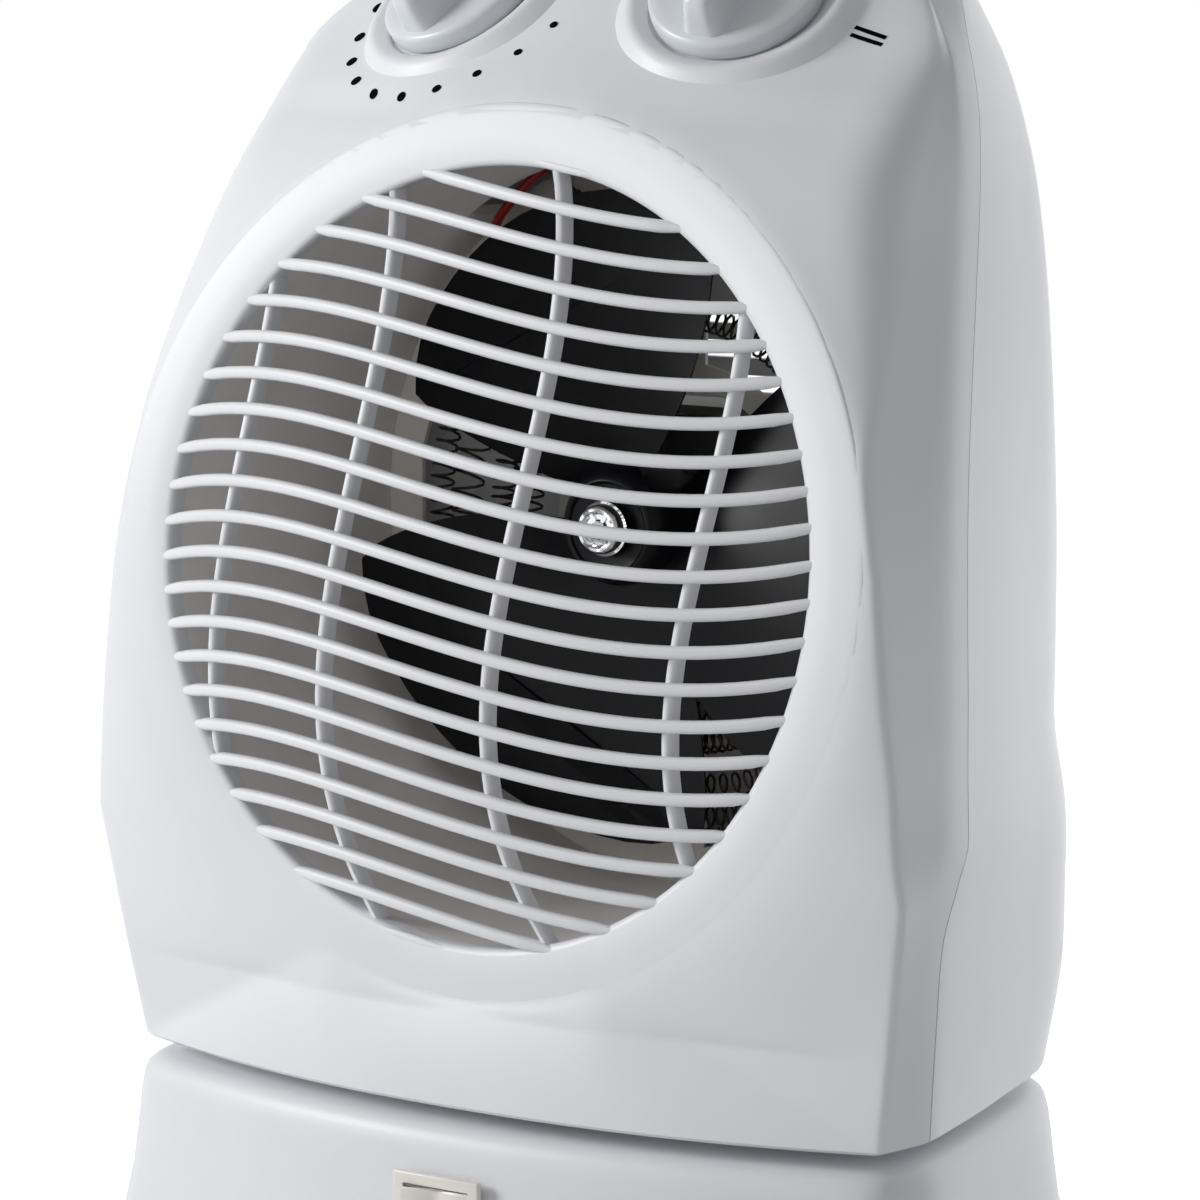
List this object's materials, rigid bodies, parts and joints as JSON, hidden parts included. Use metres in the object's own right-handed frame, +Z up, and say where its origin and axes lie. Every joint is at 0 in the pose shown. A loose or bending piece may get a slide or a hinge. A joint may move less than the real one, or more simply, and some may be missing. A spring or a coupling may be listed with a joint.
{
  "type": "oscillating fan heater",
  "caption": "upright white fan heater on a flared base, with a round swirled front grille over a black fan and heating coils, two angled knobs and a rocker switch for the swivel",
  "frame": {"origin": "middle of the base's footprint, on the floor under the feet", "axes": "+Z up through the head's swivel axis, -Y towards the front grille, +X to the right of someone who looks at the front"},
  "size_m": [0.2196, 0.1449, 0.322],
  "materials": {
    "white_housing": "satin white moulded plastic with a faint cool tint",
    "white_base": "satin white moulded plastic",
    "grille_white": "bright white moulded plastic",
    "knob_grey": "pale grey-white moulded plastic",
    "cream_plastic": "smooth off-white plastic",
    "grey_plastic": "unpainted grey-white plastic",
    "black_plastic": "glossy black plastic",
    "rubber": "dark soft rubber",
    "steel": "plain steel",
    "chrome": "bright plating",
    "brass": "plain brass",
    "copper": "enamelled copper wire, reddish brown",
    "heater_wire": "oxidised resistance wire, dark brown-grey",
    "mica": "matt grey-brown mica sheet",
    "red_sleeve": "red insulation",
    "black_sleeve": "black insulation",
    "white_sleeve": "white insulation"
  },
  "bodies": {
    "base": {"base_shell": "white_base", "base_plate": "white_base", "rocker_bezel": "cream_plastic", "swivel_bush": "grey_plastic", "oscillation_motor": "steel", "tip_switch": "black_plastic", "cord_gland": "black_plastic", "foot_1": "rubber", "foot_2": "rubber", "foot_3": "rubber", "foot_4": "rubber", "base_screw_1": "steel", "base_screw_2": "steel", "base_screw_3": "steel", "base_screw_4": "steel"},
    "head": {"front_shell": "white_housing", "rear_shell": "white_housing", "front_grille": "grille_white", "air_duct": "grey_plastic", "swivel_neck": "grey_plastic", "thermostat_body": "black_plastic", "selector_body": "black_plastic", "shell_screw_1": "steel", "shell_screw_2": "steel", "shell_screw_3": "steel", "shell_screw_4": "steel", "retainer_ring": "steel", "yoke_arm": "steel", "thermal_cutout": "steel", "motor_stator": "steel", "bracket_front": "steel", "bracket_rear": "steel", "stator_winding": "copper", "coil_inner": "heater_wire", "coil_outer": "heater_wire", "mica_plate": "mica", "wire_red": "red_sleeve", "wire_black": "black_sleeve", "wire_white": "white_sleeve"},
    "fan": {"fan": "black_plastic", "fan_clip": "chrome", "motor_shaft": "steel", "motor_rotor": "steel"},
    "crank": {"crank_disc": "brass"},
    "thermostat": {"thermostat_knob": "knob_grey"},
    "selector": {"selector_knob": "knob_grey"},
    "rocker": {"rocker_button": "cream_plastic"},
    "plunger": {"tip_plunger": "grey_plastic"}
  },
  "joints": [
    {"name": "head_swivel", "type": "hinge", "parent": "base", "child": "head", "pos_m": [0, 0, 0.06], "axis": [0, 0, 1], "range_deg": [-35, 35]},
    {"name": "crank_turn", "type": "hinge", "parent": "base", "child": "crank", "pos_m": [0, 0.038, 0.039], "axis": [0, 0, 1], "range_deg": [-90, 90]},
    {"name": "fan_spin", "type": "hinge", "parent": "head", "child": "fan", "pos_m": [0, 0.00625, 0.1818], "axis": [0, 1, 0], "continuous": true},
    {"name": "thermostat_turn", "type": "hinge", "parent": "head", "child": "thermostat", "pos_m": [-0.0356, -0.00475, 0.2986], "axis": [-0.1467, -0.6354, 0.7581], "range_deg": [-270, 0]},
    {"name": "selector_turn", "type": "hinge", "parent": "head", "child": "selector", "pos_m": [0.0356, -0.00475, 0.2986], "axis": [0.1467, -0.6354, 0.7581], "range_deg": [-180, 0]},
    {"name": "rocker_tilt", "type": "hinge", "parent": "base", "child": "rocker", "pos_m": [0, -0.06789, 0.0401], "axis": [0, 0, 1], "range_deg": [-16, 0]},
    {"name": "plunger_slide", "type": "slide", "parent": "base", "child": "plunger", "axis": [0, 0, 1], "range_m": [-0.004, 0], "stiffness_N_per_m": 100, "springref_m": -0.006}
  ],
  "couplings": [
    {"joint": "crank_turn", "follows": "head_swivel", "ratio": 2.5714}
  ]
}
